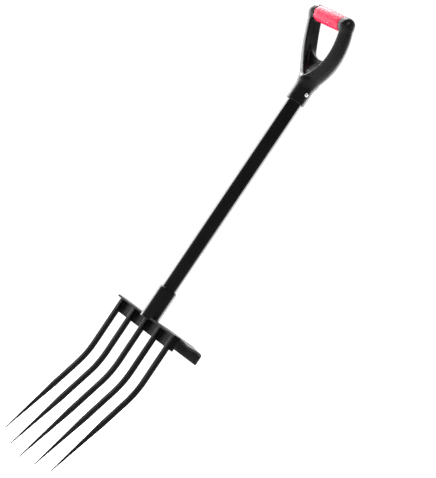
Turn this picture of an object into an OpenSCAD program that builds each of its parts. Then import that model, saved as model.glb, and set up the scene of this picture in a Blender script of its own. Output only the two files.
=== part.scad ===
// Five-tine digging fork with a canted D-handle and a side foot step.
// The origin is the centre of the hand grip: +Z points up the tool, -Y is the
// hollow front side that the tines curve towards, and +X is the foot-step side.

/* [Handle] */
// Distance from the centre of the grip down to the top of the head
handle_to_head = 689; // [560:1:840]
// Diameter of the red grip
grip_d = 33; // [27:0.5:40]
// Free length of the grip between the two knuckles
grip_len = 82; // [68:1:105]
// Diameter of the moulded crossbar inside the grip
core_d = 20; // [14:0.5:24]
// Depth of the crossbar's seat in each knuckle
core_seat = 9; // [5:0.5:14]
// How far the grip stands in front of the shaft's axis
handle_cant = 40; // [20:1:55]
// Drop from the grip's centre to the bottom of the hand opening
opening_drop = 78; // [66:1:90]
// How far the web is set back between the arms, in front
dish_depth = 12; // [4:1:15]
// Drop from the grip's centre to the lower end of the handle socket
yoke_drop = 175; // [160:1:210]
// Wall thickness of the handle socket
yoke_wall = 3.9; // [3:0.1:6]
// Height of the rivet above the lower end of the handle socket
rivet_rise = 23; // [14:1:32]
// Thickness of each arm, seen from the front
arm_t = 15; // [11:0.5:19]
// Depth of each arm, front to back
arm_depth = 31; // [24:0.5:36]

/* [Shaft] */
// Outer diameter of the steel shaft
shaft_d = 32; // [26:0.5:39]
// Wall thickness of the steel shaft
shaft_wall = 1.8; // [1.2:0.1:3]
// Length of the shaft held inside the handle socket
shaft_seat = 46; // [35:1:55]
// Radial clearance round the shaft in its two sockets
shaft_gap = 0.1; // [0.05:0.05:0.3]
// Diameter of the rivet through the handle socket
rivet_d = 6; // [4:0.5:8]
// Diameter of the rivet's heads
rivet_head_d = 8.5; // [7:0.5:11]

/* [Head] */
// Wall thickness of the ferrule that is welded to the head
ferrule_wall = 3.9; // [3:0.1:6]
// Height of the ferrule above the head
ferrule_h = 63; // [45:1:90]
// How far the ferrule's rim hangs over the front and back of the head
ferrule_dip = 8; // [4:0.5:12]
// How far the top flange stands in front of the shaft's axis
flange_reach = 13; // [10:0.5:17]
// Thickness of the angle section
bar_t = 5; // [4:0.5:7]
// Height of the angle section's upright leg
bar_h = 31; // [25:0.5:40]
// How far the top flange stands proud of the tines, in front and at each end
bar_lip = 5; // [3:0.5:8]

/* [Tines] */
// Spacing between the centres of neighbouring tines
tine_pitch = 48.5; // [40:0.5:59]
// Width and thickness of each square tine
tine_w = 9.5; // [7.5:0.5:12]
// Chamfer along the tine's edges
tine_chamfer = 1.5; // [0.5:0.1:2.2]
// Overall drop of an outer tine, from the top of the head to its point
tine_drop = 350; // [290:1:430]
// Extra drop of the middle tine
tine_crown = 20; // [0:1:30]
// Length of the straight upper part
tine_straight = 104; // [80:1:130]
// Radius of the bend
bend_r = 170; // [100:5:240]
// Angle of the bend
bend_angle = 18; // [10:1:22]
// Length of the tapered point
taper_len = 135; // [80:1:160]
// Width of the point's blunt end
point_w = 1.6; // [1:0.1:3]

/* [Foot step] */
// Distance from the shaft's axis to the outer end of the step
step_reach = 138; // [125:1:175]
// Gap between the ferrule and the inner end of the step
step_gap = 5; // [4:1:35]
// Depth of the tread, front to back
step_depth = 43; // [32:1:60]
// Height of the rear apron
step_apron = 28; // [20:1:34]
// Thickness of the step plate
step_t = 4; // [3:0.5:6]
// Downward slope of the tread's outer part
step_slope = 6; // [0:1:8]

/* [Welds] */
// Leg length of the weld beads
weld_leg = 3; // [2:0.5:4]

/* [Hidden] */
tine_count = 5;
$fn = 64;
// How far a cut runs past the face it opens
over = 1;

grip_r = grip_d / 2;
core_r = core_d / 2;
shaft_r = shaft_d / 2;
shaft_bore_r = shaft_r - shaft_wall;
seat_r = shaft_r + shaft_gap;
yoke_r = seat_r + yoke_wall;
ferrule_r = seat_r + ferrule_wall;
half_grip = grip_len / 2;

// The handle: everything is measured down from the grip's centre.
knuckle_round = 11;
knuckle_extra = 9;
knuckle_len = arm_t + knuckle_extra;
arm_x = half_grip + knuckle_len - arm_t / 2;
yoke_bottom = -yoke_drop;
shaft_top = yoke_bottom + shaft_seat;
socket_roof = 4;
arm_foot = shaft_top + socket_roof;

// The arms: extra width and depth at the foot, and how round their edges are
foot_width = 7;
foot_depth = 6;
arm_roundness = 0.85;
arm_steps = 12;
slice_t = 0.2;

// The web between the arms, from web_start to web_end along them, and the oval
// bottom of the hand opening, which meets the arms' inner faces
web_start = 0.12;
web_end = 0.74;
web_parts = 6;
web_inset = 2;
web_slab = 2;
opening_half_w = half_grip + 8;
opening_half_h = 39;
opening_z = -opening_drop + opening_half_h;

// The rivet and the recess round each of its heads
rivet_z = yoke_bottom + rivet_rise;
recess_gap = 1.1;
recess_r = rivet_head_d / 2 + recess_gap;
recess_depth = 1.4;
rivet_head_h = 2.2;
rivet_bed = 0.1;

// The head: y = 0 is the shaft's axis, and top_z is the top of the flange.
top_z = -handle_to_head;
bar_depth = bar_lip + tine_w + bar_t;
bar_front = -flange_reach;
bar_back = bar_front + bar_depth;
leg_front = bar_back - bar_t;
tine_y = leg_front - tine_w / 2;
bar_half = (tine_count - 1) / 2 * tine_pitch + tine_w / 2 + bar_lip;
under_flange = top_z - bar_t;
middle = (tine_count + 1) / 2;
crown_shape = 1.4;

// The welds: how far a bead stops short of an edge
weld_margin = 0.5;
step_weld_inset = 2;

// The step: where it starts, and how far its outer end has fallen
step_start = ferrule_r + step_gap;
step_fall = (step_reach - bar_half) * tan(step_slope);

// Moves a piece drawn round the shaft's axis to its place behind the grip
module on_shaft() {
    translate([0, handle_cant, 0]) children();
}

// How far forward the handle has leant at height z, measured from the shaft
function lean(z) = -handle_cant * pow((z - arm_foot) / -arm_foot, 1.6);

// Point at t along a cubic curve through the corners a, b, c, d
function cubic(a, b, c, d, t) =
    pow(1 - t, 3) * a + 3 * pow(1 - t, 2) * t * b + 3 * (1 - t) * t * t * c + pow(t, 3) * d;

// Centre line of the right arm, as [x, z]
arm_a = [4, arm_foot];
arm_b = [arm_x * 0.6, arm_foot * 0.78];
arm_c = [arm_x + 1, arm_foot * 0.48];
arm_d = [arm_x, -6];
function arm_point(t) = cubic(arm_a, arm_b, arm_c, arm_d, t);
function arm_slope(t) = arm_point(min(t + 0.01, 1)) - arm_point(max(t - 0.01, 0));
function arm_width(t) = arm_t + foot_width * pow(1 - t, 2);
function arm_thick(t) = arm_depth + foot_depth * (1 - t);

// One thin slice across an arm: flat-sided, with rounded corners
module arm_slice(t) {
    p = arm_point(t);
    s = arm_slope(t);
    half_w = arm_width(t) / 2;
    half_d = arm_thick(t) / 2;
    corner = half_w * arm_roundness;
    translate([p[0], lean(p[1]), p[1]]) rotate([0, atan2(s[0], s[1]), 0]) {
        for (x = [-1, 1], y = [-1, 1]) {
            translate([x * (half_w - corner), y * (half_d - corner), 0]) {
                cylinder(r = corner, h = slice_t, center = true, $fn = 24);
            }
        }
    }
}

module arm() {
    for (i = [0 : arm_steps - 1]) {
        hull() {
            arm_slice(i / arm_steps);
            arm_slice((i + 1) / arm_steps);
        }
    }
}

// The rounded boss that holds one end of the grip
module knuckle() {
    translate([half_grip, -handle_cant, 0]) rotate([0, 90, 0]) rotate_extrude() {
        square([grip_r, knuckle_len - knuckle_round]);
        square([grip_r - knuckle_round, knuckle_len]);
        translate([grip_r - knuckle_round, knuckle_len - knuckle_round]) intersection() {
            circle(r = knuckle_round);
            square(knuckle_round);
        }
    }
}

// How far the web's front stands behind the arms' front, at t along the arms
function set_back(t) = dish_depth * min(1, max(0, (t - 0.2) / 0.25));

// One slab of the web, from arm to arm
module web_slice(t) {
    p = arm_point(t);
    depth = arm_thick(t) - 2 * web_inset - set_back(t);
    translate([0, lean(p[1]) + set_back(t) / 2, p[1]]) {
        cube([2 * p[0], depth, web_slab], center = true);
    }
}

// The web between the arms, dished in front, with the round bottom of the opening
module throat() {
    web_step = (web_end - web_start) / web_parts;
    difference() {
        union() {
            for (i = [0 : web_parts - 1]) {
                hull() {
                    web_slice(web_start + i * web_step);
                    web_slice(web_start + (i + 1) * web_step);
                }
            }
        }
        translate([0, 0, opening_z]) scale([opening_half_w / opening_half_h, 1, 1]) {
            rotate([90, 0, 0]) cylinder(r = opening_half_h, h = 4 * arm_depth, center = true);
        }
    }
}

module rivet_path(r, length) {
    translate([0, 0, rivet_z]) rotate([0, 90, 0]) cylinder(r = r, h = length, center = true);
}

module handle_yoke() {
    color("#17181a") on_shaft() difference() {
        union() {
            translate([0, 0, yoke_bottom]) cylinder(r = yoke_r, h = yoke_drop + arm_foot);
            throat();
            for (side = [0, 1]) {
                mirror([side, 0, 0]) {
                    arm();
                    knuckle();
                }
            }
        }
        translate([0, 0, yoke_bottom - over]) cylinder(r = seat_r, h = shaft_seat + over);
        rivet_path(rivet_d / 2, 2 * (yoke_r + over));
        for (side = [-1, 1]) {
            translate([side * (yoke_r - recess_depth), 0, rivet_z]) {
                rotate([0, side * 90, 0]) cylinder(r = recess_r, h = recess_depth + over);
            }
        }
        translate([0, -handle_cant, 0]) rotate([0, 90, 0]) {
            cylinder(r = core_r, h = grip_len + 2 * core_seat, center = true);
        }
    }
}

module grip_core() {
    color("#222326") rotate([0, 90, 0]) {
        cylinder(r = core_r, h = grip_len + 2 * core_seat, center = true);
    }
}

module grip_sleeve() {
    color("#e2263e") rotate([0, 90, 0]) difference() {
        cylinder(r = grip_r, h = grip_len, center = true);
        cylinder(r = core_r, h = grip_len + 2 * over, center = true);
    }
}

// One domed rivet head, standing on the floor of its recess
module rivet_head() {
    dome_r = (pow(rivet_head_d / 2, 2) + pow(rivet_head_h, 2)) / (2 * rivet_head_h);
    intersection() {
        translate([0, 0, rivet_head_h - dome_r]) sphere(r = dome_r);
        cylinder(r = rivet_head_d / 2, h = rivet_head_h + over);
    }
}

module handle_rivet() {
    seat = yoke_r - recess_depth;
    color("#d9dadb") on_shaft() {
        union() {
            rivet_path(rivet_d / 2, 2 * (seat + rivet_bed));
            for (side = [-1, 1]) {
                translate([side * seat, 0, rivet_z]) rotate([0, side * 90, 0]) rivet_head();
            }
        }
    }
}

module shaft_tube() {
    color("#141517") on_shaft() difference() {
        translate([0, 0, top_z]) cylinder(r = shaft_r, h = shaft_top - top_z);
        translate([0, 0, top_z - over]) {
            cylinder(r = shaft_bore_r, h = shaft_top - top_z + 2 * over);
        }
        rivet_path(rivet_d / 2, 2 * (shaft_r + over));
    }
}

// The ferrule straddles the head: its rim is notched to the angle section
module ferrule() {
    rim_z = top_z - ferrule_dip;
    color("#141517") on_shaft() difference() {
        translate([0, 0, rim_z]) cylinder(r = ferrule_r, h = ferrule_h + ferrule_dip);
        translate([0, 0, rim_z - over]) cylinder(r = seat_r, h = ferrule_h + ferrule_dip + 2 * over);
        translate([-ferrule_r - over, bar_front, rim_z - over]) {
            cube([2 * (ferrule_r + over), bar_depth, ferrule_dip + over]);
        }
    }
}

// A bead of weld round a cylinder, standing on a flat face
module ring_bead(r) {
    rotate_extrude() polygon([[r, 0], [r + weld_leg, 0], [r, weld_leg]]);
}

module shaft_weld() {
    reach = ferrule_r - shaft_r - weld_margin;
    color("#1b1c1e") on_shaft() translate([0, 0, top_z + ferrule_h]) {
        rotate_extrude() polygon([[shaft_r, 0], [shaft_r + reach, 0], [shaft_r, reach]]);
    }
}

module ferrule_weld() {
    color("#1b1c1e") on_shaft() intersection() {
        translate([0, 0, top_z]) ring_bead(ferrule_r);
        translate([-bar_half, bar_front + bar_t / 2, top_z]) {
            cube([2 * bar_half, bar_depth - bar_t / 2, weld_leg]);
        }
    }
}

// An angle section: an upright leg behind the tines and a flange over them,
// with a half-round front edge
module head_bar() {
    color("#101113") on_shaft() union() {
        translate([-bar_half, leg_front, top_z - bar_h]) cube([2 * bar_half, bar_t, bar_h]);
        translate([-bar_half, bar_front + bar_t / 2, under_flange]) {
            cube([2 * bar_half, bar_depth - bar_t / 2, bar_t]);
        }
        translate([-bar_half, bar_front + bar_t / 2, top_z - bar_t / 2]) {
            rotate([0, 90, 0]) cylinder(r = bar_t / 2, h = 2 * bar_half);
        }
    }
}

// Drop of tine i: the middle one is the longest
function drop_of(i) =
    tine_drop + tine_crown * (1 - pow(abs(i - middle) / (middle - 1), crown_shape));

// A tine's cross-section: a square with chamfered corners
module tine_section() {
    h = tine_w / 2;
    c = tine_chamfer;
    polygon([
        [h - c, h], [h, h - c], [h, c - h], [h - c, -h],
        [c - h, -h], [-h, c - h], [-h, h - c], [c - h, h]
    ]);
}

// A tine hangs from the flange: a straight part, a bend and a tapered point
module tine(i) {
    lower_drop = drop_of(i) - bar_t - tine_straight - bend_r * sin(bend_angle);
    lower_len = lower_drop / cos(bend_angle);
    color("#141517") on_shaft() translate([(i - middle) * tine_pitch, tine_y, under_flange]) {
        union() {
            translate([0, 0, -tine_straight]) linear_extrude(tine_straight) tine_section();
            translate([0, -bend_r, -tine_straight]) {
                rotate([-90, 0, 90]) rotate_extrude(angle = bend_angle) {
                    translate([bend_r, 0]) tine_section();
                }
                rotate([-bend_angle, 0, 0]) translate([0, bend_r, taper_len - lower_len]) {
                    linear_extrude(lower_len - taper_len) tine_section();
                    mirror([0, 0, 1]) linear_extrude(taper_len, scale = point_w / tine_w) {
                        tine_section();
                    }
                }
            }
        }
    }
}

// Upright fillet welds on both sides of every tine, against the leg
module tine_welds() {
    bead_len = bar_h - bar_t;
    edge = tine_w / 2;
    color("#1b1c1e") on_shaft() {
        for (i = [1 : tine_count]) {
            translate([(i - middle) * tine_pitch, leg_front, under_flange - bead_len]) {
                for (side = [0, 1]) {
                    mirror([side, 0, 0]) linear_extrude(bead_len) {
                        polygon([[edge, 0], [edge + weld_leg, 0], [edge, -weld_leg]]);
                    }
                }
            }
        }
    }
}

// The step's outline from the front, down to the depth given at each end: level
// behind the head, then falling away
module step_outline(inner_depth, outer_depth) {
    polygon([
        [step_start, 0], [bar_half, 0], [step_reach, -step_fall],
        [step_reach, -outer_depth - step_fall], [bar_half, -inner_depth],
        [step_start, -inner_depth]
    ]);
}

// The foot step: a tread level with the head and an apron turned down behind it
module step_plate() {
    color("#26272a") on_shaft() translate([0, bar_back + step_depth, top_z]) rotate([90, 0, 0]) {
        union() {
            linear_extrude(step_depth) step_outline(step_t, step_t);
            linear_extrude(step_t) step_outline(step_apron, step_apron - step_fall);
        }
    }
}

module step_weld() {
    bead_len = bar_half - step_start - 2 * step_weld_inset;
    color("#1b1c1e") on_shaft() {
        translate([step_start + step_weld_inset, bar_back, top_z - step_t]) {
            rotate([90, 0, 90]) linear_extrude(bead_len) {
                polygon([[0, 0], [weld_leg, 0], [0, -weld_leg]]);
            }
        }
    }
}

handle_yoke();
grip_core();
grip_sleeve();
handle_rivet();
shaft_tube();
ferrule();
shaft_weld();
ferrule_weld();
head_bar();
tine(1);  // tine_1
tine(2);  // tine_2
tine(3);  // tine_3
tine(4);  // tine_4
tine(5);  // tine_5
tine_welds();
step_plate();
step_weld();
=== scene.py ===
"""Visual model of a five-tine digging fork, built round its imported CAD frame.

The steel parts are lofted and swept, and the D-handle and the ferrule are moulded
from distance functions. Lengths are in millimetres, but metres for floor, lights and camera.
"""
import math

import bmesh
import bpy
import numpy as np
from mathutils import Matrix, Vector


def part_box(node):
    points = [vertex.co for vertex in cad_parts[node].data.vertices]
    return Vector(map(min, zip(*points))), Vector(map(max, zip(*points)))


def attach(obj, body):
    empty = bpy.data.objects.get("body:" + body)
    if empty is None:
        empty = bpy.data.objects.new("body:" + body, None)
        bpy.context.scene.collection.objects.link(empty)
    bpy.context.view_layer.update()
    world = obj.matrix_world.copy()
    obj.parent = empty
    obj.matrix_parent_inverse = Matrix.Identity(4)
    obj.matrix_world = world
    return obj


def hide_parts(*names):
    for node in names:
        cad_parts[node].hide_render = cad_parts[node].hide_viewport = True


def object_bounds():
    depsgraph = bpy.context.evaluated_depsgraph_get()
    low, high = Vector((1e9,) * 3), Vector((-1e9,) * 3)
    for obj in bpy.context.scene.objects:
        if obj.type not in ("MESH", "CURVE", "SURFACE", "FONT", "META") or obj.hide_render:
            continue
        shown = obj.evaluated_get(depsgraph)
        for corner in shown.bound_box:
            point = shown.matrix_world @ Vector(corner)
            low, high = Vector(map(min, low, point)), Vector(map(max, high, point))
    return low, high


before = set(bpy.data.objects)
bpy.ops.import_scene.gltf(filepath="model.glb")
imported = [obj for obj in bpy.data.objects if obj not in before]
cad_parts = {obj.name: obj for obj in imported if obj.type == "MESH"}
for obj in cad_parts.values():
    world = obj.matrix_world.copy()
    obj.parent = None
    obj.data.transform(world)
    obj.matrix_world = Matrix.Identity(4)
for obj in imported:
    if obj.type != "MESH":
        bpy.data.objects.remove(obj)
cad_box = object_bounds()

MM = 0.001
BODY = "root"
FACET_ANGLE = math.radians(38)


# ---------------------------------------------------------------- the frame

def box_mm(node):
    """The lowest and highest corner of a CAD node, in millimetres."""
    low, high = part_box(node)
    return np.array(low) / MM, np.array(high) / MM


SHAFT_LOW, SHAFT_HIGH = box_mm("shaft_tube")
YOKE_LOW, YOKE_HIGH = box_mm("handle_yoke")
SLEEVE_HIGH = box_mm("grip_sleeve")[1]
CORE_HIGH = box_mm("grip_core")[1]
FERRULE_LOW, FERRULE_HIGH = box_mm("ferrule")
BAR_LOW, BAR_HIGH = box_mm("head_bar")
STEP_LOW, STEP_HIGH = box_mm("step_plate")
RIVET_LOW, RIVET_HIGH = box_mm("handle_rivet")

AXIS_Y = (SHAFT_LOW[1] + SHAFT_HIGH[1]) / 2
TO_AXIS = np.array((0, AXIS_Y, 0))
SHAFT_R = (SHAFT_HIGH[0] - SHAFT_LOW[0]) / 2
HEAD_TOP = SHAFT_LOW[2]
SOCKET_R = (FERRULE_HIGH[0] - FERRULE_LOW[0]) / 2
GRIP_R = SLEEVE_HIGH[2]
CORE_R = CORE_HIGH[2]
HALF_GRIP = SLEEVE_HIGH[0]
KNUCKLE_END = YOKE_HIGH[0]
RIVET_Z = (RIVET_LOW[2] + RIVET_HIGH[2]) / 2


# ------------------------------------------------------------ mesh building

def add_piece(name, mesh, material, slot, *nodes):
    """Adds a mesh in millimetres as a piece that rides on the one body."""
    mesh.transform(Matrix.Scale(MM, 4))
    mesh.materials.append(material)
    mesh.shade_smooth()
    mesh.set_sharp_from_angle(angle=FACET_ANGLE)
    piece = bpy.data.objects.new(name, mesh)
    bpy.context.scene.collection.objects.link(piece)
    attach(piece, BODY)
    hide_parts(*nodes)
    return piece


def mesh_from(name, points, faces):
    mesh = bpy.data.meshes.new(name)
    mesh.from_pydata([tuple(map(float, p)) for p in points], [], faces)
    work = bmesh.new()
    work.from_mesh(mesh)
    bmesh.ops.recalc_face_normals(work, faces=work.faces)
    work.to_mesh(mesh)
    work.free()
    mesh.validate()
    return mesh


def grid_faces(rows, columns, first=0, close_rows=False):
    """Quads between rings of points, each ring a closed loop of `columns` points."""
    faces = []
    for i in range(rows if close_rows else rows - 1):
        here = first + i * columns
        there = first + (i + 1) % rows * columns
        for j in range(columns):
            k = (j + 1) % columns
            faces.append((here + j, here + k, there + k, there + j))
    return faces


def loft(rings):
    """Points and faces of a closed skin over rings, with a flat face over each end."""
    columns = len(rings[0])
    points = [p for ring in rings for p in ring]
    faces = grid_faces(len(rings), columns)
    for start in (0, (len(rings) - 1) * columns):
        faces.append(tuple(range(start, start + columns)))
    return points, faces


def lathe(profile, turns, centre, along_x=False):
    """Revolves a closed (radius, height) profile about Z, or about X."""
    rings = []
    for i in range(turns):
        angle = 2 * math.pi * i / turns
        ring = []
        for radius, height in profile:
            across, up = radius * math.cos(angle), radius * math.sin(angle)
            local = (height, across, up) if along_x else (across, up, height)
            ring.append(np.add(centre, local))
        rings.append(ring)
    points = [p for ring in rings for p in ring]
    return points, grid_faces(turns, len(profile), close_rows=True)


def surface_net(distance, low, high, pitch):
    """The surface where distance(x, y, z) is zero, as one vertex in each cell it crosses."""
    axes = [np.arange(a, b + pitch, pitch) for a, b in zip(low, high)]
    field = distance(*np.meshgrid(*axes, indexing="ij", sparse=True))
    field = np.broadcast_to(field, [len(a) for a in axes])
    cells = np.array(field.shape) - 1
    total = np.zeros((*cells, 3))
    count = np.zeros(cells)
    crossings = []
    for axis in range(3):
        side_a, side_b = [k for k in range(3) if k != axis]
        start = np.take(field, range(cells[axis]), axis)
        end = np.take(field, range(1, cells[axis] + 1), axis)
        crossed = (start < 0) != (end < 0)
        share = np.where(crossed, start / np.where(crossed, start - end, 1), 0)
        crossings.append((axis, side_a, side_b, crossed, start < 0))
        for da in (0, 1):
            for db in (0, 1):
                pick = [slice(None)] * 3
                pick[side_a] = slice(da, cells[side_a] + da)
                pick[side_b] = slice(db, cells[side_b] + db)
                hit = crossed[tuple(pick)]
                total[..., axis] += share[tuple(pick)]
                total[..., side_a] += hit * da
                total[..., side_b] += hit * db
                count += hit
    used = count > 0
    index = np.full(cells, -1)
    index[used] = np.arange(used.sum())
    points = (np.argwhere(used) + total[used] / count[used][:, None]) * pitch + np.array(low)
    faces = []
    for axis, side_a, side_b, crossed, leaving in crossings:
        at = np.argwhere(crossed)
        at = at[(at[:, side_a] > 0) & (at[:, side_b] > 0)]
        at = at[(at[:, side_a] < cells[side_a]) & (at[:, side_b] < cells[side_b])]
        corners = []
        for da, db in ((1, 1), (0, 1), (0, 0), (1, 0)):
            cell = at.copy()
            cell[:, side_a] -= da
            cell[:, side_b] -= db
            corners.append(index[tuple(cell.T)])
        quads = np.stack(corners, 1)
        flip = leaving[tuple(at.T)] == (axis == 1)
        quads[flip] = quads[flip][:, ::-1]
        faces += quads.tolist()
    return snap_to_surface(points, distance, pitch), faces


def snap_to_surface(points, distance, pitch):
    """Moves points along the gradient onto the zero surface."""
    step = pitch * 0.1
    for _ in range(2):
        x, y, z = points.T
        here = distance(x, y, z)
        slope = np.stack([
            distance(x + step, y, z) - distance(x - step, y, z),
            distance(x, y + step, z) - distance(x, y - step, z),
            distance(x, y, z + step) - distance(x, y, z - step),
        ], 1) / (2 * step)
        size = np.maximum((slope ** 2).sum(1), 0.25)
        move = slope * (here / size)[:, None]
        length = np.maximum(np.linalg.norm(move, axis=1), 1e-9)
        points = points - move * np.minimum(1, pitch * 0.6 / length)[:, None]
    return points


# ------------------------------------------------------- distance functions

def smooth_min(a, b, blend):
    """Union with a fillet about `blend` wide."""
    mix = np.clip(0.5 + 0.5 * (b - a) / blend, 0, 1)
    return b + (a - b) * mix - blend * mix * (1 - mix)


def smooth_max(a, b, blend):
    return -smooth_min(-a, -b, blend)


def rounded_box(u, v, half_u, half_v, radius):
    """Distance to a rectangle with rounded corners."""
    a = np.abs(u) - half_u + radius
    b = np.abs(v) - half_v + radius
    outside = np.hypot(np.maximum(a, 0), np.maximum(b, 0))
    return outside + np.minimum(np.maximum(a, b), 0) - radius


def step_between(x, low, high):
    """Smoothly from 0 at low to 1 at high."""
    t = np.clip((x - low) / (high - low), 0, 1)
    return t * t * (3 - 2 * t)


# ------------------------------------------------------------- the D-handle
# Drawn round the shaft's axis, so the grip is at y = -AXIS_Y.

SOCKET_FOOT = YOKE_LOW[2]
ARM_FOOT = SHAFT_HIGH[2] + 4
ARM_INSET = 7.5         # from the arm's centre line to its flat inner face
ARM_THICK = 17.5        # from that face to the outside of the arm
ARM_SWELL = 2.5         # how much deeper the arm is than the grip's radius, low down
ARM_DEPTH_POWER = 2.5   # how square the section is from front to back
ARM_X = KNUCKLE_END - (ARM_THICK - ARM_INSET)
KNUCKLE_ROUND = 13
WEB_HALF_D = 15.5
WEB_DISH = 12
OPENING_DROP = 78       # from the grip's axis to the middle of the oval opening
OPENING_HALF_W = HALF_GRIP + 8
OPENING_HALF_H = 39


def cubic(a, b, c, d, t):
    return (1 - t) ** 3 * a + 3 * (1 - t) ** 2 * t * b + 3 * (1 - t) * t * t * c + t ** 3 * d


ARM_T = np.linspace(0, 1, 41)
ARM_LINE_X = cubic(7, ARM_X * 0.62, ARM_X + 1, ARM_X, ARM_T)
ARM_LINE_Z = cubic(ARM_FOOT, ARM_FOOT * 0.78, ARM_FOOT * 0.48, -2, ARM_T)


def lean(z):
    """How far the handle has leant forward at height z."""
    return -AXIS_Y * np.clip((z - ARM_FOOT) / -ARM_FOOT, 0, 1.2) ** 1.6


def along_arm(x, z):
    """Place along the arm's centre line, 0 to 1, and signed distance outwards from it."""
    best = np.full(np.broadcast(x, z).shape, np.inf)
    place = np.zeros(best.shape)
    outward = np.zeros(best.shape)
    last = len(ARM_T) - 1
    for i in range(last):
        ax, az = ARM_LINE_X[i], ARM_LINE_Z[i]
        run_x, run_z = ARM_LINE_X[i + 1] - ax, ARM_LINE_Z[i + 1] - az
        share = ((x - ax) * run_x + (z - az) * run_z) / (run_x ** 2 + run_z ** 2)
        share = np.clip(share, 0, 1)
        off_x, off_z = x - ax - share * run_x, z - az - share * run_z
        far = np.hypot(off_x, off_z)
        side = np.where((x - ax) * run_z - (z - az) * run_x > 0, 1, -1)
        nearer = far < best
        best = np.where(nearer, far, best)
        place = np.where(nearer, (i + share) / last, place)
        outward = np.where(nearer, side * far, outward)
    return place, outward


def arm_distance(x, y, z):
    """A D-shaped section: a flat inner face with crisp edges, and a full round outside."""
    place, outward = along_arm(x, z)
    centre_z = np.interp(place, ARM_T, ARM_LINE_Z)
    head, foot = place ** 1.5, (1 - place) ** 3
    half_d = GRIP_R + ARM_SWELL * (1 - place ** 3) + foot
    thick = ARM_THICK + 3 * foot
    through = np.abs(lean(centre_z) - y) / half_d
    bulge = np.maximum(outward + ARM_INSET, 0) / thick
    power = 1.25 + 1.25 * head + 0.5 * foot
    level = bulge ** power + through ** ARM_DEPTH_POWER - 1
    depth_slope = ARM_DEPTH_POWER * through ** (ARM_DEPTH_POWER - 1) * thick / half_d
    slope = np.hypot(power, depth_slope) / thick
    outer = smooth_max(level / slope, -ARM_INSET - outward, 1.6)
    return smooth_max(outer, z - 1, 3)


def web_distance(x, y, z):
    """The web between the arms: dished in front, and open above an oval rim."""
    arm_x = np.interp(z, ARM_LINE_Z, ARM_LINE_X)
    place = np.interp(z, ARM_LINE_Z, ARM_T)
    set_back = WEB_DISH * step_between(place, 0.1, 0.42)
    half_d = WEB_HALF_D + 3 * (1 - place) - 2 - set_back / 2
    across = np.maximum(x - arm_x, -40)
    depth = np.abs(y - lean(z) - set_back / 2) - half_d
    slab = np.maximum(np.maximum(across, depth), ARM_FOOT - 2 - z)
    slab = np.maximum(slab, z + 20)
    rim_z = OPENING_HALF_H - OPENING_DROP
    oval = np.hypot(x / OPENING_HALF_W, np.minimum(z - rim_z, 0) / OPENING_HALF_H)
    return smooth_max(slab, (1 - oval) * OPENING_HALF_H, 5)


def knuckle_distance(x, y, z):
    """A short cylinder about the grip's axis, crisp inside and well rounded outside."""
    radius = np.hypot(y + AXIS_Y, z)
    centre = (HALF_GRIP + KNUCKLE_END) / 2
    out = x - centre
    edge = np.where(out > 0, KNUCKLE_ROUND, 1.6)
    return rounded_box(out, radius, (KNUCKLE_END - HALF_GRIP) / 2, GRIP_R, edge)


def yoke_distance(x, y, z):
    """Arms, web, socket and knuckles run together, less the bores and the rivet's recess."""
    side = np.abs(x)
    axis_r = np.hypot(x, y)
    middle_z = (SOCKET_FOOT + ARM_FOOT) / 2
    half_h = (ARM_FOOT - SOCKET_FOOT) / 2
    socket = rounded_box(axis_r, z - middle_z, SOCKET_R, half_h, 1.2)
    solid = smooth_min(arm_distance(side, y, z), web_distance(side, y, z), 4)
    solid = smooth_min(solid, socket, 10)
    solid = smooth_min(solid, knuckle_distance(side, y, z), 3)
    shaft_bore = np.maximum(axis_r - SHAFT_R - 0.35, z - SHAFT_HIGH[2] - 0.2)
    core_bore = np.maximum(np.hypot(y + AXIS_Y, z) - CORE_R - 0.1, side - CORE_HIGH[0] - 0.1)
    recess = np.maximum(np.hypot(y, z - RIVET_Z) - 5.35, SOCKET_R - 1.4 - side)
    for cut in (shaft_bore, core_bore, recess):
        solid = np.maximum(solid, -cut)
    return solid


def make_yoke(material):
    """The black moulding; uneven margins keep grid planes out of its flat faces."""
    pitch = 0.8
    low = YOKE_LOW - TO_AXIS - (3.3, 3.7, 2.9)
    high = YOKE_HIGH - TO_AXIS + (3.9, 3.3, 3.7)
    points, faces = surface_net(yoke_distance, low, high, pitch)
    mesh = mesh_from("yoke_moulding", points + TO_AXIS, faces)
    piece = add_piece("yoke_moulding", mesh, material, "black_plastic", "handle_yoke")
    relax = piece.modifiers.new("relax", "SMOOTH")
    relax.factor, relax.iterations = 0.5, 2
    return piece


def make_sleeve(material):
    """The grip's sleeve: barrelled a little, with rounded ends."""
    corner, barrel = 1.6, 0.35
    half = []
    for i in range(6):
        a = math.pi / 2 * i / 5
        radius = GRIP_R - barrel - corner + corner * math.sin(a)
        half.append((radius, -HALF_GRIP + corner - corner * math.cos(a)))
    for share in (0.2, 0.4, 0.6, 0.8):
        radius = GRIP_R - barrel * (1 - share) ** 2
        half.append((radius, (corner - HALF_GRIP) * (1 - share)))
    profile = half + [(r, -h) for r, h in reversed(half)]
    profile += [(CORE_R, HALF_GRIP), (CORE_R, -HALF_GRIP)]
    points, faces = lathe(profile, 96, (0, 0, 0), along_x=True)
    mesh = mesh_from("red_sleeve", points, faces)
    return add_piece("red_sleeve", mesh, material, "red_grip", "grip_sleeve")


# -------------------------------------------------------- shaft and ferrule

TUBE_WALL = 1.8


def make_shaft(material):
    """The tube, with enough rings along it for even shading."""
    low, high = SHAFT_LOW[2], SHAFT_HIGH[2]
    inner = SHAFT_R - TUBE_WALL
    levels = np.linspace(low, high, 30)
    profile = [(SHAFT_R, z) for z in levels] + [(inner, high), (inner, low)]
    points, faces = lathe(profile, 96, (0, AXIS_Y, 0))
    mesh = mesh_from("steel_shaft", points, faces)
    return add_piece("steel_shaft", mesh, material, "black_paint", "shaft_tube")


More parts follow.
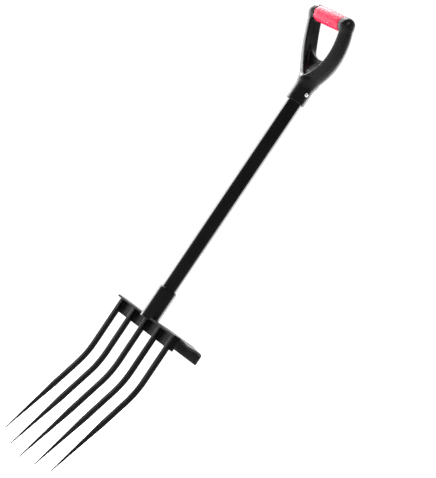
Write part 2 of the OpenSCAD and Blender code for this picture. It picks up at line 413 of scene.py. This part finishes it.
def ferrule_distance(x, y, z):
    """A tube with rounded rims, notched over the angle bar."""
    radius = np.hypot(x, y)
    wall = (SOCKET_R - SHAFT_R) / 2
    centre_z = (FERRULE_LOW[2] + FERRULE_HIGH[2]) / 2
    half_h = (FERRULE_HIGH[2] - FERRULE_LOW[2]) / 2
    tube = rounded_box(radius - SHAFT_R - wall, z - centre_z, wall, half_h, 0.9)
    front, back = BAR_LOW[1] - AXIS_Y, BAR_HIGH[1] - AXIS_Y
    notch = np.maximum(np.abs(y - (front + back) / 2) - (back - front) / 2, z - HEAD_TOP)
    return smooth_max(tube, -notch, 0.8)


def make_ferrule(material):
    pitch = 0.6
    margin = 1.3
    low = FERRULE_LOW - TO_AXIS - margin
    high = FERRULE_HIGH - TO_AXIS + margin
    points, faces = surface_net(ferrule_distance, low, high, pitch)
    mesh = mesh_from("ferrule_tube", points + TO_AXIS, faces)
    return add_piece("ferrule_tube", mesh, material, "black_paint", "ferrule")


# ------------------------------------------------------------------ the head

def arc_points(centre, radius, start, end, steps=6):
    """Points of an arc in the (y, z) plane, from one angle in degrees to another."""
    points = []
    for i in range(steps + 1):
        a = math.radians(start + (end - start) * i / steps)
        points.append((centre[0] + radius * math.cos(a), centre[1] + radius * math.sin(a)))
    return points


def angle_section(low, high, thick, bend, nose=0):
    """Outer and inner line, point for point, of an L bent down at the back; nose rounds its front."""
    front, back, top, foot = low[1], high[1], high[2], low[2]
    outer = arc_points((back - bend, top - bend), bend, 90, 0)
    if bend < thick:
        inner = arc_points((back - thick - bend, top - thick - bend), bend, 90, 0)
    else:
        inner = arc_points((back - bend, top - bend), max(bend - thick, 0.1), 90, 0)
    upper, under = [(front, top)], [(front, top - thick)]
    if nose:
        upper = arc_points((front + nose, top - nose), nose, 176, 90)
        under = arc_points((front + nose, top - thick + nose), nose, 184, 270)
    outer = upper + outer + [(back, foot)]
    inner = under + inner + [(back - thick, foot)]
    return outer, inner


def swept_angle(section, xs, drop=None):
    """An L-shaped bar along X; drop(x, z) lowers a point."""
    outer, inner = section
    ring = outer + inner[::-1]
    count = len(ring)
    points = []
    for x in xs:
        points += [(x, y, z - (drop(x, z) if drop else 0)) for y, z in ring]
    faces = grid_faces(len(xs), count)
    for start in (0, (len(xs) - 1) * count):
        for i in range(len(outer) - 1):
            across = count - 1 - i
            faces.append((start + i, start + i + 1, start + across - 1, start + across))
    return points, faces


def soften(piece, width_mm, segments=3):
    bevel = piece.modifiers.new("edges", "BEVEL")
    bevel.width = width_mm * MM
    bevel.segments = segments
    bevel.limit_method = "ANGLE"
    bevel.angle_limit = math.radians(50)
    bevel.harden_normals = True


BAR_THICK = 5
BAR_BEND_R = 1.5
BAR_NOSE_R = 2.4
STEP_THICK = 4
STEP_BEND_R = 7


def make_bar(material):
    """The angle section: a flange with a half-round front edge, and a leg behind."""
    section = angle_section(BAR_LOW, BAR_HIGH, BAR_THICK, BAR_BEND_R, BAR_NOSE_R)
    xs = np.linspace(BAR_LOW[0], BAR_HIGH[0], 24)
    mesh = mesh_from("angle_bar", *swept_angle(section, xs))
    piece = add_piece("angle_bar", mesh, material, "black_paint", "head_bar")
    soften(piece, 0.7)
    return piece


def square_ring(half, corner, columns=32):
    """A rounded square as (across, through) pairs."""
    power = 2 / (2 + 9 * (1 - corner))
    ring = []
    for j in range(columns):
        a = 2 * math.pi * (j + 0.5) / columns
        u = math.copysign(abs(math.cos(a)) ** power, math.cos(a))
        v = math.copysign(abs(math.sin(a)) ** power, math.sin(a))
        ring.append((half * u, half * v))
    return ring


TINE_NUMBERS = range(1, 6)
TINE_STRAIGHT = 104
BEND_R = 170
BEND = math.radians(18)
TAPER = 135
TIP_WIDTH = 1.6


def tine_place(run):
    """Depth below the flange, forward travel and slant of a tine at arc length `run`."""
    bend_run = BEND_R * BEND
    if run <= TINE_STRAIGHT:
        return run, 0, 0
    if run <= TINE_STRAIGHT + bend_run:
        turn = (run - TINE_STRAIGHT) / BEND_R
        return TINE_STRAIGHT + BEND_R * math.sin(turn), BEND_R * (1 - math.cos(turn)), turn
    rest = run - TINE_STRAIGHT - bend_run
    down = TINE_STRAIGHT + BEND_R * math.sin(BEND) + rest * math.cos(BEND)
    return down, BEND_R * (1 - math.cos(BEND)) + rest * math.sin(BEND), BEND


def make_tine(number, material):
    """A forged square tine that bends forward and tapers to a blunt point."""
    node = f"tine_{number}"
    low, high = box_mm(node)
    x_mid, half = (low[0] + high[0]) / 2, (high[0] - low[0]) / 2
    y_mid, top = high[1] - half, high[2]
    lower = (top - low[2] - TINE_STRAIGHT - BEND_R * math.sin(BEND)) / math.cos(BEND)
    length = TINE_STRAIGHT + BEND_R * BEND + lower
    taper_at = length - TAPER
    tip_share = TIP_WIDTH / (2 * half)
    runs = [*np.linspace(0, TINE_STRAIGHT, 9), *np.linspace(TINE_STRAIGHT, taper_at, 14)[1:]]
    runs += [*np.linspace(taper_at, length - 1.2, 30)[1:], length - 0.4, length]
    rings = []
    for run in runs:
        down, forward, slant = tine_place(run)
        share = 1 - (1 - tip_share) * max(0, run - taper_at) / TAPER
        if run > length - 1:
            share *= 0.85 if run < length else 0.45
        hammered = 1 + 0.006 * math.sin(0.21 * run + 2.1 * number)
        size = half * share * (hammered if run < taper_at else 1)
        roundness = 0.25 + 0.6 * (1 - share)
        ring = []
        for across, through in square_ring(size, roundness):
            y = y_mid - forward - through * math.cos(slant)
            z = top - down + through * math.sin(slant)
            ring.append((x_mid + across, y, z))
        rings.append(ring)
    mesh = mesh_from(f"forged_{node}", *loft(rings))
    return add_piece(f"forged_{node}", mesh, material, "black_paint", node)


# -------------------------------------------------------------------- welds

def bead(path, size, seed, closed=False):
    """A weld bead along a path, with a fine ripple about every five points and a slow one."""
    path = [np.array(p, float) for p in path]
    rings = []
    count = len(path)
    columns = 12
    for i, point in enumerate(path):
        ahead = path[(i + 1) % count] if closed else path[min(i + 1, count - 1)]
        behind = path[i - 1] if closed else path[max(i - 1, 0)]
        tangent = (ahead - behind) / np.linalg.norm(ahead - behind)
        helper = np.array((0, 0, 1.0)) if abs(tangent[2]) < 0.9 else np.array((0, 1.0, 0))
        side = np.cross(tangent, helper)
        side /= np.linalg.norm(side)
        up = np.cross(side, tangent)
        ripple = 1 + 0.035 * math.sin(1.25 * i + seed) + 0.05 * math.sin(0.23 * i + 3 * seed)
        radius = size * ripple
        if not closed:
            from_end = min(i, count - 1 - i)
            radius *= (0.55, 0.85, 1)[min(from_end, 2)]
        ring = []
        for j in range(columns):
            a = 2 * math.pi * j / columns
            ring.append(point + radius * (math.cos(a) * side + math.sin(a) * up))
        rings.append(ring)
    if closed:
        points = [p for ring in rings for p in ring]
        return points, grid_faces(count, columns, close_rows=True)
    return loft(rings)


def joined(parts):
    """Several (points, faces) parts as one."""
    points, faces = [], []
    for part_points, part_faces in parts:
        base = len(points)
        points += list(part_points)
        faces += [tuple(base + k for k in face) for face in part_faces]
    return points, faces


def ring_path(radius, height, start=0.0, end=2 * math.pi, spacing=0.45):
    """An arc of points round the shaft's axis."""
    count = max(8, int(radius * (end - start) / spacing))
    full = abs(end - start - 2 * math.pi) < 1e-6
    path = []
    for i in range(count if full else count + 1):
        a = start + (end - start) * i / count
        path.append((radius * math.cos(a), AXIS_Y + radius * math.sin(a), height))
    return path


def line_path(start, end, spacing=0.45):
    start, end = np.array(start, float), np.array(end, float)
    count = max(6, int(np.linalg.norm(end - start) / spacing))
    return [start + (end - start) * i / count for i in range(count + 1)]


BEAD_R = 1.9


def make_welds(material):
    """Beads round the shaft, beside the ferrule, down both sides of each tine and on the step."""
    shaft = bead(ring_path(SHAFT_R + 0.9, FERRULE_HIGH[2] + 0.4), BEAD_R, 0.3, closed=True)
    mesh = mesh_from("shaft_weld_bead", *shaft)
    add_piece("shaft_weld_bead", mesh, material, "black_paint", "shaft_weld")

    front, back = BAR_LOW[1] + 2.5 - AXIS_Y, BAR_HIGH[1] - AXIS_Y
    radius = SOCKET_R + 0.5
    first, last = math.asin(front / radius), math.asin(back / radius)
    arcs = []
    for side in (0, 1):
        start, end = (first, last) if side == 0 else (math.pi - last, math.pi - first)
        arcs.append(bead(ring_path(radius, HEAD_TOP + 0.5, start, end), BEAD_R, 1.1 + side))
    mesh = mesh_from("ferrule_weld_beads", *joined(arcs))
    add_piece("ferrule_weld_beads", mesh, material, "black_paint", "ferrule_weld")

    low, high = box_mm("tine_welds")
    beads = []
    for number in TINE_NUMBERS:
        t_low, t_high = box_mm(f"tine_{number}")
        for x in (t_low[0] - 0.5, t_high[0] + 0.5):
            path = line_path((x, high[1] - 0.6, low[2] + 0.6), (x, high[1] - 0.6, high[2] - 0.4))
            beads.append(bead(path, BEAD_R, number + x))
    mesh = mesh_from("tine_weld_beads", *joined(beads))
    add_piece("tine_weld_beads", mesh, material, "black_paint", "tine_welds")

    low, high = box_mm("step_weld")
    line = line_path((low[0], low[1] + 0.6, high[2] - 0.6), (high[0], low[1] + 0.6, high[2] - 0.6))
    mesh = mesh_from("step_weld_bead", *bead(line, BEAD_R - 0.1, 2.2))
    add_piece("step_weld_bead", mesh, material, "black_paint", "step_weld")


def make_step(material):
    """The foot step: bent plate, level behind the head and falling away beyond it."""
    top, foot = STEP_HIGH[2], STEP_LOW[2]
    bar_end = BAR_HIGH[0]
    slope = math.tan(math.radians(6))
    ease = 8
    section = angle_section(STEP_LOW, STEP_HIGH, STEP_THICK, STEP_BEND_R)

    def drop(x, z):
        past = max(0, x - bar_end + ease / 2)
        fall = slope * (past * past / (2 * ease) if past < ease else past - ease / 2)
        return fall * (1 - (top - z) / (top - foot))

    xs = [*np.linspace(STEP_LOW[0], bar_end - 4, 18), *np.linspace(bar_end - 3, bar_end + 4, 8)]
    xs += list(np.linspace(bar_end + 7, STEP_HIGH[0], 7))
    mesh = mesh_from("bent_step", *swept_angle(section, xs, drop))
    piece = add_piece("bent_step", mesh, material, "step_paint", "step_plate")
    soften(piece, 0.9)
    return piece


# ---------------------------------------------------------------- materials

def new_material(name, colour, roughness, **sockets):
    """A Principled material whose constant values sit on the shader's own sockets."""
    material = bpy.data.materials.new(name)
    material.use_nodes = True
    shader = material.node_tree.nodes["Principled BSDF"]
    shader.inputs["Base Color"].default_value = (*colour, 1)
    shader.inputs["Roughness"].default_value = roughness
    for key, value in sockets.items():
        shader.inputs[key.replace("_", " ")].default_value = value
    return material, material.node_tree, shader


def noise(tree, scale, detail=3.0, stretch=None):
    """Noise over the piece's own coordinates; stretch scales X, Y and Z apart."""
    source = tree.nodes.new("ShaderNodeTexCoord")
    texture = tree.nodes.new("ShaderNodeTexNoise")
    texture.inputs["Scale"].default_value = scale
    texture.inputs["Detail"].default_value = detail
    out = source.outputs["Object"]
    if stretch:
        mapping = tree.nodes.new("ShaderNodeMapping")
        mapping.inputs["Scale"].default_value = stretch
        tree.links.new(out, mapping.inputs["Vector"])
        out = mapping.outputs["Vector"]
    tree.links.new(out, texture.inputs["Vector"])
    return texture.outputs["Fac"]


def ramp(tree, value, stops):
    """A colour ramp with (place, colour) stops."""
    node = tree.nodes.new("ShaderNodeValToRGB")
    elements = node.color_ramp.elements
    while len(elements) < len(stops):
        elements.new(0.5)
    for element, (place, colour) in zip(elements, stops):
        element.position = place
        element.color = (*colour, 1)
    tree.links.new(value, node.inputs["Fac"])
    return node.outputs["Color"]


def spread(tree, value, low, high):
    """Maps a noise value to low..high."""
    node = tree.nodes.new("ShaderNodeMapRange")
    node.inputs["From Min"].default_value = 0.3
    node.inputs["From Max"].default_value = 0.7
    node.inputs["To Min"].default_value = low
    node.inputs["To Max"].default_value = high
    tree.links.new(value, node.inputs["Value"])
    return node.outputs["Result"]


def bump(tree, shader, height, strength, distance_mm):
    """Adds a bump on top of any that the shader already has."""
    node = tree.nodes.new("ShaderNodeBump")
    node.inputs["Strength"].default_value = strength
    node.inputs["Distance"].default_value = distance_mm * MM
    tree.links.new(height, node.inputs["Height"])
    normal = shader.inputs["Normal"]
    if normal.is_linked:
        tree.links.new(normal.links[0].from_socket, node.inputs["Normal"])
    tree.links.new(node.outputs["Normal"], normal)


def worn_edges(tree, low, high):
    """A mask that is 1 on convex edges, broken up by noise."""
    geometry = tree.nodes.new("ShaderNodeNewGeometry")
    edge = tree.nodes.new("ShaderNodeMapRange")
    edge.inputs["From Min"].default_value = low
    edge.inputs["From Max"].default_value = high
    tree.links.new(geometry.outputs["Pointiness"], edge.inputs["Value"])
    times = tree.nodes.new("ShaderNodeMath")
    times.operation = "MULTIPLY"
    tree.links.new(edge.outputs["Result"], times.inputs[0])
    tree.links.new(spread(tree, noise(tree, 420), 0.0, 1.0), times.inputs[1])
    return times.outputs["Value"]


def mixed(tree, factor, first, second):
    """A colour mix of two sockets or two plain colours."""
    node = tree.nodes.new("ShaderNodeMix")
    node.data_type = "RGBA"
    tree.links.new(factor, node.inputs["Factor"])
    for key, value in (("A", first), ("B", second)):
        socket = [s for s in node.inputs if s.name == key and s.type == "RGBA"][0]
        if isinstance(value, bpy.types.NodeSocket):
            tree.links.new(value, socket)
        else:
            socket.default_value = (*value, 1)
    return [s for s in node.outputs if s.type == "RGBA"][0]


def enamel(name, dark, light, rough_low, rough_high, gloss, wear=0.5):
    """Stoved paint on steel: orange peel, faint cloudiness and rubbed edges."""
    material, tree, shader = new_material(name, dark, rough_low, Specular_IOR_Level=gloss)
    clouds = noise(tree, 14, 4)
    paint = ramp(tree, clouds, [(0.3, dark), (0.7, light)])
    rubbed = tuple(min(1, 6 * c + 0.03) for c in light)
    mask = worn_edges(tree, 0.53, 0.53 + 0.14 / wear)
    tree.links.new(mixed(tree, mask, paint, rubbed), shader.inputs["Base Color"])
    smears = noise(tree, 40, 5, stretch=(1, 1, 0.2))
    tree.links.new(spread(tree, smears, rough_low, rough_high), shader.inputs["Roughness"])
    bump(tree, shader, noise(tree, 700, 2), 0.12, 0.03)
    bump(tree, shader, noise(tree, 90, 2), 0.15, 0.1)
    return material


def moulded_plastic(name, dark, light, rough_low, rough_high, grain_mm):
    """Moulded plastic: spark-eroded grain, flow clouds and scuffed edges."""
    material, tree, shader = new_material(name, dark, rough_low, Specular_IOR_Level=0.18)
    paint = ramp(tree, noise(tree, 22, 4), [(0.3, dark), (0.7, light)])
    scuffed = tuple(min(1, 2.2 * c + 0.02) for c in light)
    mask = worn_edges(tree, 0.54, 0.75)
    tree.links.new(mixed(tree, mask, paint, scuffed), shader.inputs["Base Color"])
    sheen = noise(tree, 30, 4)
    tree.links.new(spread(tree, sheen, rough_low, rough_high), shader.inputs["Roughness"])
    bump(tree, shader, noise(tree, 1.0 / (grain_mm * MM), 2), 0.35, 0.06)
    return material


def bare_metal(name):
    """Aluminium with fine marks along the rivet, which also make its roughness uneven."""
    material, tree, shader = new_material(name, (0.82, 0.83, 0.84), 0.28, Metallic=1.0)
    marks = noise(tree, 1600, 2, stretch=(0.3, 1, 1))
    tree.links.new(spread(tree, marks, 0.2, 0.42), shader.inputs["Roughness"])
    bump(tree, shader, marks, 0.2, 0.03)
    return material


# ----------------------------------------------------------------- assembly

BLACK_GLOSS = enamel("black_enamel", (0.003, 0.003, 0.0034), (0.005, 0.005, 0.0055), 0.14, 0.22, 0.22)
BLACK_FORGED = enamel("tine_enamel", (0.003, 0.003, 0.0034), (0.006, 0.006, 0.0065), 0.22, 0.34, 0.1)
# The step has the head's black paint made lighter here: painted light, standing in for the brighter
# light that the step's plate catches.
STEP_ENAMEL_PAINTED_LIGHTER = enamel("step_enamel_painted_lighter", (0.012, 0.012, 0.013), (0.02, 0.02, 0.021), 0.18, 0.28, 0.25, 0.8)
PLASTIC = moulded_plastic("yoke_plastic", (0.004, 0.004, 0.0045), (0.007, 0.007, 0.0075), 0.28, 0.4, 0.9)
RED = moulded_plastic("red_plastic", (0.62, 0.002, 0.05), (0.74, 0.004, 0.065), 0.34, 0.46, 0.7)
METAL = bare_metal("rivet_aluminium")

make_yoke(PLASTIC)
make_sleeve(RED)
make_shaft(BLACK_GLOSS)
make_ferrule(BLACK_GLOSS)
make_bar(BLACK_FORGED)
for tine_number in TINE_NUMBERS:
    make_tine(tine_number, BLACK_FORGED)
make_step(STEP_ENAMEL_PAINTED_LIGHTER)
make_welds(BLACK_FORGED)


def dress(node, material):
    """Gives a CAD node that stays in the scene its material."""
    for material_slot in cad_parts[node].material_slots:
        material_slot.material = material


dress("grip_core", PLASTIC)
dress("handle_rivet", METAL)


# ------------------------------------------------------------ floor and light

FLOOR_Z = cad_box[0].z - 0.002
CAMERA_AT = Vector((3.1926, -2.6389, -0.5175))
LOOK_AT = Vector((0.0163, 0.0594, -0.4864))
CAMERA_ROLL = math.radians(33.9)
CAMERA_LENS = 157.83
FRONT = (CAMERA_AT - LOOK_AT).normalized()
SIDE = Vector((0, 0, 1)).cross(FRONT).normalized()


def away_from_camera(tree, place, near, far, near_level, far_level):
    """A level that goes smoothly from near_level on the camera's side to far_level behind."""
    along = tree.nodes.new("ShaderNodeVectorMath")
    along.operation = "DOT_PRODUCT"
    along.inputs[1].default_value = FRONT
    tree.links.new(place, along.inputs[0])
    level = tree.nodes.new("ShaderNodeMapRange")
    level.interpolation_type = "SMOOTHSTEP"
    level.inputs["From Min"].default_value = far
    level.inputs["From Max"].default_value = near
    level.inputs["To Min"].default_value = far_level
    level.inputs["To Max"].default_value = near_level
    tree.links.new(along.outputs["Value"], level.inputs["Value"])
    return level.outputs["Result"]


def beside(right, front, up):
    """A place beside the object: metres to the right, towards the front, and up."""
    return LOOK_AT + SIDE * right + FRONT * front + Vector((0, 0, up))


def make_floor():
    """A wide pale disc that glows behind the object, so that it meets the surround unseen."""
    radii = (0.2, 0.5, 1, 2, 5, 15, 60, 200)
    sides = 64
    points = [(0, 0, FLOOR_Z)]
    for radius in radii:
        for i in range(sides):
            a = 2 * math.pi * i / sides
            points.append((radius * math.cos(a), radius * math.sin(a), FLOOR_Z))
    faces = [(0, 1 + j, 1 + (j + 1) % sides) for j in range(sides)]
    faces += grid_faces(len(radii), sides, first=1)
    mesh = mesh_from("floor", points, faces)
    material, tree, shader = new_material("pale_floor", (0.86, 0.86, 0.86), 0.9)
    tone = ramp(tree, noise(tree, 0.8, 2), [(0.3, (0.84, 0.84, 0.84)), (0.7, (0.87, 0.87, 0.87))])
    tree.links.new(tone, shader.inputs["Base Color"])
    shader.inputs["Emission Color"].default_value = (1, 1, 1, 1)
    place = tree.nodes.new("ShaderNodeTexCoord")
    glow = away_from_camera(tree, place.outputs["Object"], 0.4, -1.6, near_level=0.1, far_level=0.9)
    tree.links.new(glow, shader.inputs["Emission Strength"])
    mesh.materials.append(material)
    floor = bpy.data.objects.new("floor", mesh)
    bpy.context.scene.collection.objects.link(floor)


def make_world(behind, front):
    """A white surround, dimmer on the camera's side, as in a light tent with an open front."""
    world = bpy.data.worlds.new("studio")
    world.use_nodes = True
    tree = world.node_tree
    background = tree.nodes["Background"]
    background.inputs["Color"].default_value = (1, 1, 1, 1)
    place = tree.nodes.new("ShaderNodeTexCoord")
    level = away_from_camera(tree, place.outputs["Generated"], 0.0, -0.75, front, behind)
    tree.links.new(level, background.inputs["Strength"])
    bpy.context.scene.world = world


def softbox(name, place, width, height, power):
    """An area light aimed at the middle of the object."""
    data = bpy.data.lights.new(name, "AREA")
    data.shape = "RECTANGLE"
    data.size, data.size_y, data.energy = width, height, power
    light = bpy.data.objects.new(name, data)
    light.location = place
    light.rotation_mode = "QUATERNION"
    light.rotation_quaternion = (LOOK_AT - place).to_track_quat("-Z", "Y")
    light.visible_camera = False
    bpy.context.scene.collection.objects.link(light)


def make_camera():
    """The camera at the photograph's angle, rolled so that the handle leans right."""
    forward = (LOOK_AT - CAMERA_AT).normalized()
    level_right = forward.cross(Vector((0, 0, 1))).normalized()
    level_up = level_right.cross(forward)
    right = math.cos(CAMERA_ROLL) * level_right + math.sin(CAMERA_ROLL) * level_up
    up = math.cos(CAMERA_ROLL) * level_up - math.sin(CAMERA_ROLL) * level_right
    data = bpy.data.cameras.new("camera")
    data.lens = CAMERA_LENS
    data.clip_start, data.clip_end = 0.05, 500
    camera = bpy.data.objects.new("camera", data)
    turn = Matrix((right, up, -forward)).transposed()
    camera.matrix_world = Matrix.Translation(CAMERA_AT) @ turn.to_4x4()
    bpy.context.scene.collection.objects.link(camera)
    bpy.context.scene.camera = camera


make_floor()
make_world(behind=1.1, front=0.2)
softbox("rim_left", beside(-1.8, -1.3, 0.3), width=1.5, height=2.6, power=110)
softbox("rim_right", beside(1.8, -1.3, 0.3), width=1.3, height=2.6, power=80)
softbox("edge_light", LOOK_AT + Vector((-2.0, 0.0, 1.5)), width=1.4, height=1.4, power=95)
softbox("front_fill", beside(0.3, 2.0, 2.2), width=0.7, height=0.7, power=26)
make_camera()
bpy.context.scene.view_settings.view_transform = "Standard"
